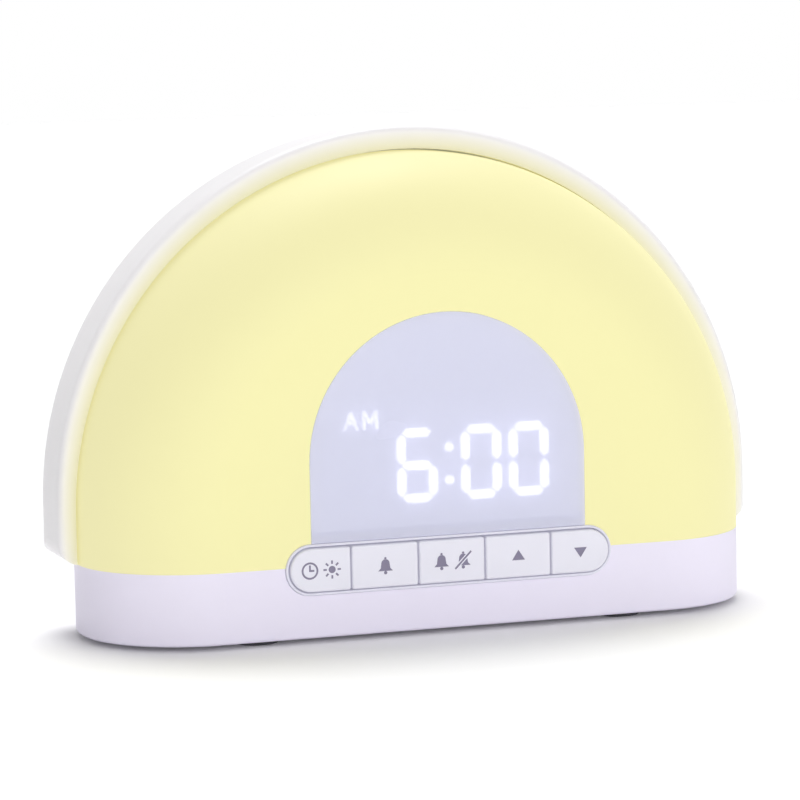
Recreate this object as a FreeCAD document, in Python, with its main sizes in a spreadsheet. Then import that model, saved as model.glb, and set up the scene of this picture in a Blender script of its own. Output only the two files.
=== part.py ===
import FreeCAD, Part
import math
import os

import Sketcher

# Sunrise alarm clock: a lit half-round diffuser on a low base, with a display window and five keys in a row.
# The origin is on the surface it stands on, under the middle of the base. X runs to the right as seen from
# the front, Y to the back and Z up. Lengths are in millimetres and angles in degrees.

Vector = FreeCAD.Vector

KEY_NAMES = ["time", "alarm", "alarm_switch", "up", "down"]

# Driving dimensions
SIZES = {
    # Base
    "foot_height": 1.2,
    "base_width": 160,
    "base_depth": 54,
    "base_top": 17.5,
    "base_wall": 2.2,
    "deck_thickness": 2.0,
    "end_flat": 2.0,
    "base_edge_round": 0.8,
    "floor_thickness": 2.2,
    "floor_gap": 0.15,
    # Dome
    "dome_radius": 80.15,
    "dome_centre": 28.7,
    "dome_wall": 2.2,
    "dome_edge": 26.5,
    "dome_back": 3.0,
    "dome_boss_start": 5.6,
    # Rear housing
    "housing_radius": 84.6,
    "housing_centre": 30.0,
    "housing_wall": 2.4,
    "housing_front": -1.6,
    "housing_rear_edge": 15.0,
    "housing_lip_round": 1.6,
    "housing_foot_round": 5.0,
    "parting_gap": 0.4,
    "web_gap": 0.2,
    "vent_count": 9,
    "vent_width": 1.8,
    "vent_height": 16,
    "vent_pitch": 5.5,
    "vent_centre": 60,
    "dome_post_height": 10,
    "dome_post_cap": 1.5,
    # Screws and bosses
    "screw_radius": 1.25,
    "screw_slack": 0.05,
    "screw_clearance": 0.35,
    "head_clearance": 0.3,
    "screw_head_radius": 2.6,
    "screw_head_height": 1.8,
    "screw_bite": 6.0,
    "display_screw_bite": 2.5,
    "key_screw_bite": 4.0,
    "board_screw_bite": 5.0,
    "pilot_spare": 2.0,
    "pilot_cap": 0.5,
    "tube_wall": 1.2,
    "boss_radius": 3.2,
    "shell_screw_reach": 65,
    "shell_screw_low": 10,
    "shell_screw_high": 55,
    "shell_web": 4.0,
    "dome_screw_outer": 60,
    "dome_screw_inner": 12,
    "dome_screw_inset": 8.4,
    "base_screw_x": 66,
    "base_screw_y": 12,
    # Display window
    "window_half_width": 33,
    "window_centre": 40.4,
    "lens_gap": 0.1,
    "lens_flange": 1.8,
    "lens_flange_thickness": 1.0,
    "lens_flange_land": 1.0,
    "shroud_wall": 1.4,
    "shroud_depth": 6.0,
    "display_block_width": 57,
    "display_block_low": 27.5,
    "display_block_high": 54.5,
    "display_block_gap": 0.2,
    "display_recess": 0.5,
    "display_board_half": 34,
    "display_board_low": 25,
    "display_board_high": 61.5,
    "display_boss_height": 2.0,
    "display_boss_radius": 1.9,
    "display_boss_gap": 2.3,
    "display_boss_low": 7.0,
    "display_boss_drop": 2.8,
    "digit_shift": 1.2,
    "digit_pitch": 11.6,
    "colon_gap": 3.8,
    "digit_height": 15.0,
    "digit_width": 7.6,
    "digit_centre": 38.5,
    "segment_width": 2.1,
    "segment_gap": 0.35,
    "segment_thickness": 0.6,
    "marker_height": 4.2,
    "marker_inset": 7.5,
    "marker_z": 49.4,
    # Keys
    "key_pitch": 16,
    "key_gap": 0.35,
    "key_end_trim": 1.6,
    "key_height": 9.8,
    "key_centre": 16.8,
    "key_proud": 1.2,
    "key_travel": 0.8,
    "key_edge": 0.5,
    "key_lip": 0.8,
    "key_lip_thickness": 1.0,
    "stem_radius": 1.7,
    "bezel_gap": 0.3,
    "bezel_rim": 0.6,
    "bezel_proud": 0.5,
    "bezel_slack": 0.1,
    "bezel_flange": 1.0,
    "bezel_flange_half": 48,
    "bezel_flange_height": 13.6,
    "bezel_flange_round": 2.0,
    "bezel_softness": 0.24,
    "bezel_post_x": 44,
    "bezel_post_radius": 2.6,
    "key_board_setback": 11.0,
    "switch_size": 6.0,
    "switch_height": 3.6,
    "plunger_hidden": 0.9,
    "plunger_root": 1.8,
    "running_gap": 0.3,
    "fit_gap": 0.1,
    "opening_room": 1.0,
    # Boards and light
    "board_thickness": 1.6,
    "main_board_left": -57,
    "main_board_right": -18,
    "main_board_front": -11,
    "main_board_rear": 21,
    "main_board_low": 7.0,
    "board_margin": 0.6,
    "light_board_front": 4.0,
    "light_board_outer": 57,
    "light_board_inner": 41,
    "light_board_low": 22,
    "led_ring": 49,
    "led_count": 13,
    "led_size": 3.5,
    "led_height": 1.4,
    "light_post_radius": 2.8,
    "light_post_low": 22.5,
    "light_post_high": 67.5,
    "light_post_hole": 8.0,
    "ribbon_thickness": 0.8,
    "ribbon_width": 9,
    "ribbon_drop": -8.8,
    "display_ribbon_x": -35.5,
    "key_ribbon_x": -48.5,
    "socket_height": 3.2,
    "socket_wall": 1.4,
    "light_socket_half": 2.5,
    "light_wire_x": -53,
    "light_wire_radius": 0.6,
    "light_wire_gate": 2.1,
    "buzzer_x": -27,
    "buzzer_y": 2.5,
    "buzzer_radius": 6,
    "buzzer_height": 4.6,
    "capacitor_radius": 2.5,
    "capacitor_height": 5.5,
    "capacitor_pitch": 5.75,
    "capacitor_y": 10.0,
    "crystal_radius": 1.0,
    "crystal_length": 6.0,
    "crystal_left": -3.0,
    "crystal_y": -4.0,
    "sound_hole": 0.8,
    # Mains adaptor inlet
    "inlet_x": -40,
    "inlet_height": 5.4,
    "inlet_width": 6.8,
    "inlet_length": 12,
    "inlet_radius": 1.75,
    "inlet_depth": 9,
    "inlet_pin_radius": 0.6,
    "inlet_hole": 3.2,
    "inlet_nose_setback": 0.3,
    "inlet_pin_setback": 1.5,
    # Backup cell and its door
    "cell_radius": 10,
    "cell_height": 3.2,
    "cell_y": 8,
    "cell_slack": 0.3,
    "tub_wall": 1.4,
    "tub_side": 3.2,
    "clip_half": 3.0,
    "clip_thickness": 0.5,
    "leaf_half_width": 2.5,
    "leaf_half_length": 7.0,
    "door_width": 26,
    "door_front": -3.0,
    "door_thickness": 1.6,
    "door_tongue": 1.0,
    "door_tongue_thickness": 0.7,
    "door_gap": 0.3,
    "ridge_pitch": 1.6,
    "ridge_depth": 0.4,
    "ridge_margin": 4.0,
    # Feet
    "foot_radius": 5,
    "foot_recess": 0.6,
    "foot_x": 44,
    "foot_margin": 1.2,
}


class Size:
    """A length that knows both its value and the sheet formula it comes from"""

    def __init__(self, value, text):
        self.value = value
        self.text = text

    def joined(self, other, sign, value):
        return Size(value, f"({self.text} {sign} {as_text(other)})")

    def __add__(self, other):
        return self.joined(other, "+", self.value + as_value(other))

    def __radd__(self, other):
        return self + other

    def __sub__(self, other):
        return self.joined(other, "-", self.value - as_value(other))

    def __rsub__(self, other):
        return -self + other

    def __mul__(self, other):
        return self.joined(other, "*", self.value * as_value(other))

    def __rmul__(self, other):
        return self * other

    def __truediv__(self, other):
        return self.joined(other, "/", self.value / as_value(other))

    def __neg__(self):
        return Size(-self.value, f"(-1 * {self.text})")


def as_value(amount):
    return amount.value if isinstance(amount, Size) else amount


def as_text(amount):
    return amount.text if isinstance(amount, Size) else str(amount)


def along(length, angle, wave):
    """The part of a length that a direction at this angle gives: wave is sin or cos"""
    turn = math.radians(as_value(angle))
    share = math.sin(turn) if wave == "sin" else math.cos(turn)
    return Size(as_value(length) * share, f"({as_text(length)} * {wave}({as_text(angle)} * 1 deg))")


class Sheet:
    """The document's spreadsheet: each driving dimension is an attribute"""

    def __init__(self, document, sizes):
        self.cells = document.addObject("Spreadsheet::Sheet", "Sizes")
        for row, (name, amount) in enumerate(sizes.items(), start=1):
            self.cells.set(f"A{row}", name)
            self.cells.set(f"B{row}", str(amount))
            self.cells.setAlias(f"B{row}", name)
            setattr(self, name, Size(amount, f"Sizes.{name}"))


doc = FreeCAD.newDocument("sunrise_alarm_clock")
d = Sheet(doc, SIZES)
doc.recompute()

# Places that several pieces share
floor_low = d.foot_height
floor_high = floor_low + d.floor_thickness
deck_low = d.base_top - d.deck_thickness
base_round = (d.base_depth - d.end_flat) / 2
front = -d.base_depth / 2
back = d.base_depth / 2
front_inside = front + d.base_wall
back_inside = back - d.base_wall
dome_inside = front + d.dome_wall
housing_inside = back - d.housing_wall
pilot_radius = d.screw_radius + d.screw_slack
clear_radius = d.screw_radius + d.screw_clearance
head_clear = d.screw_head_radius + d.head_clearance
keys_half = d.key_pitch * len(KEY_NAMES) / 2 - d.key_gap / 2 - d.key_end_trim
bezel_inner_half = keys_half + d.bezel_gap
bezel_outer_half = bezel_inner_half + d.bezel_rim
bezel_inner_height = d.key_height + d.bezel_gap * 2
bezel_outer_height = bezel_inner_height + d.bezel_rim * 2
bezel_top = d.key_centre + bezel_outer_height / 2
flange_front = dome_inside
flange_back = flange_front + d.bezel_flange
flange_top = d.key_centre + d.bezel_flange_height / 2
key_board_front = front + d.key_board_setback
key_board_back = key_board_front + d.board_thickness
key_board_low = d.key_centre - d.bezel_flange_height / 2
lens_low = bezel_top + d.lens_gap
lens_flange_low = flange_top + d.running_gap
lens_flange_back = dome_inside + d.lens_flange_thickness
shroud_back = lens_flange_back + d.shroud_depth
display_board_front = shroud_back + d.display_boss_height
display_rear = display_board_front + d.board_thickness
display_block_front = dome_inside + d.display_recess + d.segment_thickness
main_board_high = d.main_board_low + d.board_thickness
light_board_back = d.light_board_front + d.board_thickness
inlet_axis = main_board_high + d.inlet_height / 2
door_low = floor_low
door_high = door_low + d.door_thickness
channel_high = door_high + d.door_gap
cell_low = channel_high + d.cell_slack
cell_high = cell_low + d.cell_height
tub_roof = cell_high + d.cell_slack * 2
tub_high = tub_roof + d.tub_wall
tub_half = d.cell_radius + d.cell_slack + d.tub_wall + d.tub_side
cell_side = d.cell_y - d.cell_radius
clip_front = cell_side - d.clip_thickness
switch_bore = d.plunger_hidden + d.key_travel + d.running_gap
foot_y = back_inside - d.foot_radius - d.foot_margin
dome_screw_y = back - d.dome_screw_inset

# Shares and counts
HEAD_CROSS = 0.55
CROSS_WIDTH = 0.1
CROSS_DEPTH = 0.5
ROUND_SHARE = 0.9
RIDGES = 4
SOUND_HOLES = 6
SOUND_RING = 5
WIRE_PITCH = 3
LETTER_WIDTH = 0.86
LETTER_STROKE = 0.16
LETTER_GAP = 0.12
LETTER_RUNG = 0.3

# What is left straight between two full rounds, and how far a cutting shape runs past what it cuts
SLIVER = 0.02
BEYOND = 1

# Tests: the least volume that a cut takes, and how near an edge lies to its plane
TINY = 1e-6
TOUCH = 1e-4

# Chips on the main board: place from the board's middle, place in depth, width, depth and height
CHIPS = {
    "controller": (-6, -1, 9.5, 6, 1.8),
    "regulator": (-13, 8, 5, 3, 1.6),
    "light_driver": (-13, -2, 4, 4, 1.6),
}


def bind(thing, path, amount):
    """Tie a property to the sheet, or set it when it is a plain number"""
    if isinstance(amount, Size):
        thing.setExpression(path, amount.text)
    else:
        setattr(thing, path, amount)


def place(thing, x=0, y=0, z=0, turn=None):
    """Put a piece at a point that follows the sheet"""
    turn = turn or FreeCAD.Rotation()
    thing.Placement = FreeCAD.Placement(Vector(as_value(x), as_value(y), as_value(z)), turn)
    for axis, amount in zip("xyz", (x, y, z)):
        if isinstance(amount, Size):
            thing.setExpression(f"Placement.Base.{axis}", amount.text)
    return thing


def new_body(label, x=0, y=0, z=0):
    body = doc.addObject("PartDesign::Body", label)
    body.Label = label
    body.AllowCompound = True
    return place(body, x, y, z)


def new_sketch(body, plane, offset=0):
    """A sketch on one of the body's origin planes, moved along the plane's normal"""
    sketch = body.newObject("Sketcher::SketchObject", "Sketch")
    support = [item for item in body.Origin.OriginFeatures if item.Role == plane][0]
    sketch.AttachmentSupport = [(support, "")]
    sketch.MapMode = "FlatFace"
    sketch.AttachmentOffset = FreeCAD.Placement(Vector(0, 0, as_value(offset)), FreeCAD.Rotation())
    if isinstance(offset, Size):
        sketch.setExpression("AttachmentOffset.Base.z", offset.text)
    return sketch


def hold(sketch, kind, geometry, point, amount):
    """Hold a point at a distance from the sketch's origin"""
    if isinstance(amount, Size):
        rule = Sketcher.Constraint(kind, -1, 1, geometry, point, amount.value)
        index = sketch.addConstraint(rule)
        sketch.setExpression(f"Constraints[{index}]", amount.text)
        return
    sketch.addConstraint(Sketcher.Constraint(kind, -1, 1, geometry, point, float(amount)))


def hold_radius(sketch, geometry, amount):
    index = sketch.addConstraint(Sketcher.Constraint("Radius", geometry, float(as_value(amount))))
    if isinstance(amount, Size):
        sketch.setExpression(f"Constraints[{index}]", amount.text)


def circle(sketch, x, y, radius):
    ring = Part.Circle(Vector(as_value(x), as_value(y), 0), Vector(0, 0, 1), as_value(radius))
    index = sketch.addGeometry(ring)
    hold(sketch, "DistanceX", index, 3, x)
    hold(sketch, "DistanceY", index, 3, y)
    hold_radius(sketch, index, radius)


def add_arc(sketch, centre, start, end):
    """A short arc between two points, with the numbers of its ends in the order they were passed"""
    spoke = start - centre
    other = end - centre
    forward = spoke.x * other.y - spoke.y * other.x > 0
    ways = (spoke, other) if forward else (other, spoke)
    from_angle, to_angle = [math.atan2(way.y, way.x) for way in ways]
    if to_angle < from_angle:
        to_angle += 2 * math.pi
    ring = Part.Circle(centre, Vector(0, 0, 1), spoke.Length)
    arc = sketch.addGeometry(Part.ArcOfCircle(ring, from_angle, to_angle))
    return (arc, 1, 2) if forward else (arc, 2, 1)


def outline(sketch, corners):
    """A closed outline of level and upright lines; a corner (x, y, radius) with a radius is rounded"""
    points = [Vector(as_value(corner[0]), as_value(corner[1]), 0) for corner in corners]
    rounds = [corner[2] if len(corner) > 2 else None for corner in corners]
    count = len(corners)

    def towards(start, end, radius):
        step = points[end] - points[start]
        step.normalize()
        return points[start] + step * as_value(radius or 0)

    lines = []
    for index in range(count):
        following = (index + 1) % count
        begin = towards(index, following, rounds[index])
        finish = towards(following, index, rounds[following])
        line = sketch.addGeometry(Part.LineSegment(begin, finish))
        lines.append(line)
        level = abs(begin.y - finish.y) < abs(begin.x - finish.x)
        sketch.addConstraint(Sketcher.Constraint("Horizontal" if level else "Vertical", line))
        across = corners[index][1] if level else corners[index][0]
        hold(sketch, "DistanceY" if level else "DistanceX", line, 1, across)
    for index in range(count):
        before = lines[index - 1]
        after = lines[index]
        radius = rounds[index]
        if radius is None:
            sketch.addConstraint(Sketcher.Constraint("Coincident", before, 2, after, 1))
            continue
        start = towards(index, index - 1, radius)
        end = towards(index, (index + 1) % count, radius)
        centre = start + end - points[index]
        bend, first, last = add_arc(sketch, centre, start, end)
        sketch.addConstraint(Sketcher.Constraint("Tangent", before, 2, bend, first))
        sketch.addConstraint(Sketcher.Constraint("Tangent", bend, last, after, 1))
        hold_radius(sketch, bend, radius)


def box_outline(sketch, left, right, low, high, radius=None):
    corners = [(left, low), (right, low), (right, high), (left, high)]
    outline(sketch, [(x, y, radius) for x, y in corners])


def arch_outline(sketch, half_width, centre, low):
    """A half circle on two upright sides and a level foot"""
    wide = as_value(half_width)
    middle = as_value(centre)
    bottom = as_value(low)
    ring = Part.Circle(Vector(0, middle, 0), Vector(0, 0, 1), wide)
    top = sketch.addGeometry(Part.ArcOfCircle(ring, 0, math.pi))
    left = sketch.addGeometry(Part.LineSegment(Vector(-wide, middle, 0), Vector(-wide, bottom, 0)))
    foot = sketch.addGeometry(Part.LineSegment(Vector(-wide, bottom, 0), Vector(wide, bottom, 0)))
    right = sketch.addGeometry(Part.LineSegment(Vector(wide, bottom, 0), Vector(wide, middle, 0)))
    sketch.addConstraint(Sketcher.Constraint("Tangent", top, 2, left, 1))
    sketch.addConstraint(Sketcher.Constraint("Coincident", left, 2, foot, 1))
    sketch.addConstraint(Sketcher.Constraint("Coincident", foot, 2, right, 1))
    sketch.addConstraint(Sketcher.Constraint("Tangent", right, 2, top, 1))
    sketch.addConstraint(Sketcher.Constraint("Vertical", left))
    sketch.addConstraint(Sketcher.Constraint("Vertical", right))
    sketch.addConstraint(Sketcher.Constraint("Horizontal", foot))
    hold(sketch, "DistanceX", top, 3, 0)
    hold(sketch, "DistanceY", top, 3, centre)
    hold(sketch, "DistanceY", foot, 1, low)
    hold_radius(sketch, top, half_width)


def add_feature(body, kind, sketch, length, reverse):
    feature = body.newObject(f"PartDesign::{kind}", kind)
    feature.Profile = (sketch, [])
    bind(feature, "Length", length)
    feature.Reversed = reverse
    sketch.Visibility = False
    return feature


def pad(body, plane, start, end, draw):
    """Add what the drawing covers from start to end along the plane's own axis"""
    return extrude(body, "Pad", plane, start, end, draw)


def cut(body, plane, start, end, draw):
    """Take away what the drawing covers from start to end along the plane's own axis"""
    return extrude(body, "Pocket", plane, start, end, draw)


# A sketch on XZ_Plane faces -Y, so its offset along Y is counted backwards
FACING = {"XY_Plane": 1, "XZ_Plane": -1, "YZ_Plane": 1}


def extrude(body, kind, plane, start, end, draw):
    facing = FACING[plane]
    sketch = new_sketch(body, plane, start * facing)
    draw(sketch)
    before = body.Tip.Shape.Volume if kind == "Pocket" else 0
    feature = add_feature(body, kind, sketch, end - start, (facing < 0) == (kind == "Pad"))
    doc.recompute()
    if kind == "Pocket" and not feature.Shape.Volume < before - TINY:
        raise RuntimeError(f"{body.Label}: a cut takes nothing away")
    return feature


def revolve(body, kind, height, draw):
    """Turn a plan drawing half a turn over the top about the line x = 0 at this height"""
    sketch = new_sketch(body, "XY_Plane", height)
    draw(sketch)
    feature = body.newObject(f"PartDesign::{kind}", kind)
    feature.Profile = (sketch, [])
    feature.ReferenceAxis = (sketch, ["V_Axis"])
    feature.Angle = 180
    feature.Reversed = True
    doc.recompute()
    return feature


def edges_where(shape, test):
    return [f"Edge{index}" for index, edge in enumerate(shape.Edges, start=1) if test(edge)]


def dress(body, kind, size, test):
    """Round or bevel the tip's edges that pass the test"""
    base = body.Tip
    feature = body.newObject(f"PartDesign::{kind}", kind)
    feature.Base = (base, edges_where(base.Shape, test))
    bind(feature, "Radius" if kind == "Fillet" else "Size", size)
    doc.recompute()
    return feature


def flat_at(axis, level):
    """A test for edges that lie in one plane square to an axis"""
    index = "xyz".index(axis)

    def test(edge):
        box = edge.BoundBox
        low = (box.XMin, box.YMin, box.ZMin)[index]
        high = (box.XMax, box.YMax, box.ZMax)[index]
        return max(abs(low - as_value(level)), abs(high - as_value(level))) < TOUCH

    return test


def block(label, left, right, near, far, low, high):
    """A plain box between three pairs of limits"""
    piece = doc.addObject("Part::Box", label)
    piece.Label = label
    for side, (start, end) in zip(("Length", "Width", "Height"), ((left, right), (near, far), (low, high))):
        bind(piece, side, end - start)
    return place(piece, left, near, low)


UPRIGHT = FreeCAD.Rotation()
BACKWARD = FreeCAD.Rotation(Vector(1, 0, 0), -90)
FORWARD = FreeCAD.Rotation(Vector(1, 0, 0), 90)
SIDEWAYS = FreeCAD.Rotation(Vector(0, 1, 0), 90)


def rod(label, radius, length, x, y, z, turn=UPRIGHT):
    """A round bar that starts at a point and runs the way that turn sends +Z"""
    piece = doc.addObject("Part::Cylinder", label)
    piece.Label = label
    bind(piece, "Radius", radius)
    bind(piece, "Height", length)
    return place(piece, x, y, z, turn)


def group(label, pieces):
    """Several separate solids in one sub-part"""
    whole = doc.addObject("Part::Compound", label)
    whole.Label = label
    whole.Links = pieces
    doc.recompute()
    return whole


def less(label, base, tool):
    """One piece with another taken out of it"""
    result = doc.addObject("Part::Cut", label)
    result.Label = label
    result.Base = base
    result.Tool = tool
    return result


def screw(name, x, y, z, turn, reach):
    """A cross-head screw whose head sits on the point and whose shaft runs the way turn sends +Z"""
    head = rod(f"{name}_head", d.screw_head_radius, d.screw_head_height, 0, 0, -d.screw_head_height)
    shaft = rod(f"{name}_shaft", d.screw_radius, reach, 0, 0, 0)
    blank = doc.addObject("Part::MultiFuse", f"{name}_blank")
    blank.Shapes = [head, shaft]
    arm = d.screw_head_radius * HEAD_CROSS
    thin = d.screw_head_radius * CROSS_WIDTH
    low = -d.screw_head_height - d.fit_gap
    high = -d.screw_head_height * CROSS_DEPTH
    slots = [
        block(f"{name}_slot_{index}", -wide, wide, -deep, deep, low, high)
        for index, (wide, deep) in enumerate(((arm, thin), (thin, arm)))
    ]
    cross = doc.addObject("Part::MultiFuse", f"{name}_cross")
    cross.Shapes = slots
    return place(less(name, blank, cross), x, y, z, turn)


def screws(label, places, turn, reach):
    pieces = [screw(f"{label}_{index}", *spot, turn, reach) for index, spot in enumerate(places, start=1)]
    return group(label, pieces)


def four_ways(x, y):
    """The four mirror images of a place in plan"""
    return [(-x, -y), (x, -y), (x, y), (-x, y)]



def fan_spots(reach, angles):
    """Places at both sides of the dome's centre, at a reach and some angles above its level"""
    return [
        (along(reach * side, angle, "cos"), d.dome_centre + along(reach, angle, "sin"))
        for angle in angles
        for side in (-1, 1)
    ]


# Screws and the openings in the deck
shell_screw_spots = fan_spots(d.shell_screw_reach, (d.shell_screw_low, d.shell_screw_high))
shell_web_front = d.dome_back + d.web_gap
shell_web_back = shell_web_front + d.shell_web
light_post_spots = fan_spots(d.led_ring, (d.light_post_low, d.light_post_high))
dome_screw_spots = [
    (across * side, dome_screw_y)
    for across in (d.dome_screw_outer, d.dome_screw_inner)
    for side in (-1, 1)
]
base_screw_spots = four_ways(d.base_screw_x, d.base_screw_y)
board_inset = d.boss_radius + d.board_margin
main_board_spots = [
    (x, y)
    for x in (d.main_board_left + board_inset, d.main_board_right - board_inset)
    for y in (d.main_board_front + board_inset, d.main_board_rear - board_inset)
]
display_side = d.display_block_width / 2 + d.display_boss_gap
display_spots = [
    (-display_side, d.display_board_low + d.display_boss_low),
    (display_side, d.display_board_low + d.display_boss_low),
    (-d.window_half_width / 2, d.display_board_high - d.display_boss_drop),
    (d.window_half_width / 2, d.display_board_high - d.display_boss_drop),
]
key_post_spots = [(-d.bezel_post_x, d.key_centre), (d.bezel_post_x, d.key_centre)]
bay_back = key_board_back + d.screw_head_height + d.board_margin
wire_y = d.light_board_front + d.board_thickness / 2
wire_gate_x = d.light_wire_x + d.light_wire_radius * WIRE_PITCH / 2


def draw_keys_window(half, height):
    """The long outline with round ends that the keys share"""
    radius = height / 2 - SLIVER

    def draw(sketch):
        box_outline(sketch, -half, half, d.key_centre - height / 2, d.key_centre + height / 2, radius)

    return draw


def draw_circles(spots, radius):
    def draw(sketch):
        for x, y in spots:
            circle(sketch, x, y, radius)

    return draw


def draw_box(left, right, low, high, radius=None):
    return lambda sketch: box_outline(sketch, left, right, low, high, radius)


def draw_arch(half_width, centre, low):
    return lambda sketch: arch_outline(sketch, half_width, centre, low)


def dome_plan(radius, face, edge, open_end, half, lip=None):
    """Plan section of a dome: a flat face with rounded edges, open at the other end"""

    def draw(sketch):
        left = 0 if half else -radius
        left_edge = None if half else edge
        left_lip = None if half else lip
        front_corners = [(left, face, left_edge), (radius, face, edge)]
        rear_corners = [(radius, open_end, lip), (left, open_end, left_lip)]
        outline(sketch, front_corners + rear_corners)

    return draw


def build_base_shell():
    body = new_body("base_shell")
    half = d.base_width / 2
    pad(body, "XY_Plane", floor_low, d.base_top, draw_box(-half, half, front, back, base_round))
    dress(body, "Fillet", d.base_edge_round, flat_at("z", floor_low))
    inner = half - d.base_wall
    inner_round = base_round - d.base_wall
    hollow = draw_box(-inner, inner, front_inside, back_inside, inner_round)
    cut(body, "XY_Plane", floor_low, deck_low, hollow)
    # Posts that hang from the deck
    pad(body, "XY_Plane", floor_high, deck_low, draw_circles(base_screw_spots, d.boss_radius))
    pad(body, "XY_Plane", main_board_high, deck_low, draw_circles(main_board_spots, d.boss_radius))
    pilot_top = deck_low - d.pilot_cap
    cut(body, "XY_Plane", floor_high, pilot_top, draw_circles(base_screw_spots, pilot_radius))
    cut(body, "XY_Plane", main_board_high, pilot_top, draw_circles(main_board_spots, pilot_radius))
    # Openings in the deck for the keys, the cables and the dome's screws
    bay = d.bezel_flange_half + d.opening_room
    cut(body, "XY_Plane", deck_low, d.base_top, draw_box(-bay, bay, front_inside, bay_back))
    cut(body, "XY_Plane", deck_low, d.base_top, draw_circles(dome_screw_spots, clear_radius))
    gate_left = d.display_ribbon_x - d.opening_room
    gate_right = d.display_ribbon_x + d.ribbon_width + d.opening_room
    gate_rear = d.ribbon_drop + d.ribbon_thickness + d.opening_room
    ribbon_gate = draw_box(gate_left, gate_right, bay_back - BEYOND, gate_rear)
    cut(body, "XY_Plane", deck_low, d.base_top, ribbon_gate)
    cut(body, "XY_Plane", deck_low, d.base_top, draw_circles([(wire_gate_x, wire_y)], d.light_wire_gate))
    # Front wall under the keys
    outer = draw_keys_window(bezel_outer_half + d.bezel_slack, bezel_outer_height + d.bezel_slack * 2)
    cut(body, "XZ_Plane", front, front_inside, outer)
    # Rear wall: adaptor inlet and the way out for the cell door
    inlet = draw_circles([(d.inlet_x, inlet_axis)], d.inlet_hole)
    cut(body, "XZ_Plane", back_inside, back, inlet)
    gate = d.door_width / 2 + d.door_tongue + d.door_gap
    cut(body, "XZ_Plane", back_inside - BEYOND, back, draw_box(-gate, gate, floor_low - BEYOND, channel_high))
    return body


def build_bottom_plate():
    body = new_body("bottom_plate")
    inset = d.base_wall + d.floor_gap
    half = d.base_width / 2 - inset
    rear = back - inset
    pad(body, "XY_Plane", floor_low, floor_high, draw_box(-half, half, -rear, rear, base_round - inset))
    tub_front = d.cell_y - d.cell_radius - d.cell_slack - d.tub_wall
    tub_rear = d.cell_y + d.cell_radius + d.cell_slack + d.tub_wall
    pad(body, "XY_Plane", floor_high, tub_high, draw_box(-tub_half, tub_half, tub_front, tub_rear))
    reach = rear + BEYOND
    slot = d.door_width / 2 + d.door_gap
    slot_front = d.door_front - d.door_gap
    channel = draw_box(-slot, slot, slot_front, reach)
    cut(body, "XY_Plane", floor_low, channel_high, channel)
    groove_low = door_low + (d.door_thickness - d.door_tongue_thickness) / 2 - d.door_gap
    groove_high = groove_low + d.door_tongue_thickness + d.door_gap * 2
    groove = slot + d.door_tongue
    cut(body, "XY_Plane", groove_low, groove_high, draw_box(-groove, groove, slot_front, reach))
    pocket = draw_circles([(0, d.cell_y)], d.cell_radius + d.cell_slack)
    cut(body, "XY_Plane", channel_high, tub_roof, pocket)
    notch_half = d.clip_half + d.fit_gap
    notch = draw_box(-notch_half, notch_half, clip_front - d.fit_gap, d.cell_y)
    cut(body, "XY_Plane", channel_high, tub_roof, notch)
    # Screw seats, foot seats and the sound holes under the buzzer
    seat = floor_low + d.floor_thickness / 2
    cut(body, "XY_Plane", floor_low, seat, draw_circles(base_screw_spots, head_clear))
    cut(body, "XY_Plane", seat, floor_high, draw_circles(base_screw_spots, clear_radius))
    feet = draw_circles(four_ways(d.foot_x, foot_y), d.foot_radius + d.fit_gap)
    cut(body, "XY_Plane", floor_low, floor_low + d.foot_recess, feet)
    ring = d.sound_hole * SOUND_RING
    turns = [360 / SOUND_HOLES * index for index in range(SOUND_HOLES)]
    holes = [(d.buzzer_x + along(ring, turn, "cos"), d.buzzer_y + along(ring, turn, "sin")) for turn in turns]
    holes.append((d.buzzer_x, d.buzzer_y))
    cut(body, "XY_Plane", floor_low, floor_high, draw_circles(holes, d.sound_hole))
    return body


def build_feet():
    height = d.foot_height + d.foot_recess
    spots = four_ways(d.foot_x, foot_y)
    feet = [rod(f"foot_{index}", d.foot_radius, height, x, y, 0) for index, (x, y) in enumerate(spots)]
    return group("rubber_feet", feet)


def build_battery_door():
    body = new_body("battery_door")
    half = d.door_width / 2
    rear = back - d.fit_gap
    pad(body, "XY_Plane", door_low, door_high, draw_box(-half, half, d.door_front, rear))
    tongue_low = door_low + (d.door_thickness - d.door_tongue_thickness) / 2
    wide = half + d.door_tongue
    tongue = draw_box(-wide, wide, d.door_front, rear)
    pad(body, "XY_Plane", tongue_low, tongue_low + d.door_tongue_thickness, tongue)
    # Finger ridges near the rear edge
    for step in range(RIDGES):
        near = rear - d.ridge_margin - d.ridge_pitch * step
        ridge = draw_box(-half / 2, half / 2, near, near + d.ridge_pitch / 2)
        cut(body, "XY_Plane", door_low, door_low + d.ridge_depth, ridge)
    return body


def build_coin_cell():
    cell = rod("coin_cell", d.cell_radius, d.cell_height, 0, d.cell_y, cell_low)
    wide = d.leaf_half_width
    long = d.leaf_half_length
    leaf = block("cell_leaf", -wide, wide, d.cell_y - long, d.cell_y + long, cell_high, tub_roof)
    clip = block("cell_clip", -d.clip_half, d.clip_half, clip_front, cell_side, channel_high, tub_roof)
    doc.recompute()
    return cell, leaf, clip


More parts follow.
